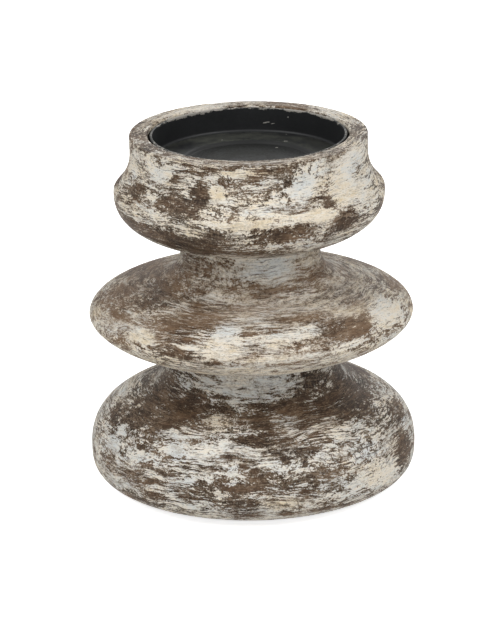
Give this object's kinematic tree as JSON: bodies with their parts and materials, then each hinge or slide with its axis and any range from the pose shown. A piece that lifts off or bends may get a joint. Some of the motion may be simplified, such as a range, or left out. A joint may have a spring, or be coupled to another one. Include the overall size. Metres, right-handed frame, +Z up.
{
  "type": "pillar candle holder",
  "caption": "Turned wooden pillar candle holder: a pebble-shaped base, a thin disc and a rimmed bowl stacked on coved necks, with a lift-out black metal candle dish.",
  "frame": {"origin": "on the table, at the middle of the holder's foot", "axes": "+Z up along the turning axis, from the foot to the candle"},
  "size_m": [0.141, 0.141, 0.1554],
  "materials": {
    "washed_wood": "turned wood stained dark brown, under a matte off-white wash rubbed through in patches",
    "dish_black": "satin black paint on pressed sheet steel",
    "zinc_steel": "bright zinc plated steel",
    "felt": "pressed brown felt"
  },
  "bodies": {
    "stand": {"base_section": "washed_wood", "disc_section": "washed_wood", "bowl_section": "washed_wood", "tie_rod": "zinc_steel", "lower_washer": "zinc_steel", "lower_nut": "zinc_steel", "upper_washer": "zinc_steel", "upper_nut": "zinc_steel", "felt_pad_1": "felt", "felt_pad_2": "felt", "felt_pad_3": "felt", "felt_pad_4": "felt"},
    "dish": {"candle_dish": "dish_black"}
  },
  "joints": [
    {"name": "dish_lift", "type": "slide", "parent": "stand", "child": "dish", "axis": [0, 0, 1], "range_m": [0, 0.03]}
  ]
}
